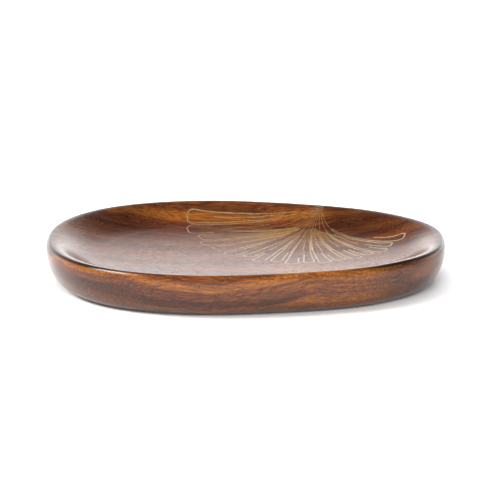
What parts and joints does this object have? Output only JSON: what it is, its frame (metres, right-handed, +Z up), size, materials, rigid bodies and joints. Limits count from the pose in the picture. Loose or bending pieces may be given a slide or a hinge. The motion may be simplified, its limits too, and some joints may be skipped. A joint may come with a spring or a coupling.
{
  "type": "wooden dish",
  "caption": "Shallow oval dish carved from one piece of dark brown hardwood, glossy lacquer, with a fan-shaped ginkgo-type leaf drawn in fine pale gold lines on its inner face.",
  "frame": {"origin": "centre of the flat underside's footprint box, on the resting plane", "axes": "+X along the length towards the slimmer end, +Z up out of the hollow"},
  "size_m": [0.25, 0.1932, 0.0281],
  "materials": {
    "wood": "polished",
    "leaf_gold": "satin"
  },
  "bodies": {
    "root": {"dish_body": "wood", "leaf_stalk": "leaf_gold", "leaf_veins_left": "leaf_gold", "leaf_veins_centre": "leaf_gold", "leaf_veins_right": "leaf_gold", "leaf_fine_veins_left": "leaf_gold", "leaf_fine_veins_centre": "leaf_gold", "leaf_fine_veins_right": "leaf_gold"}
  },
  "joints": []
}
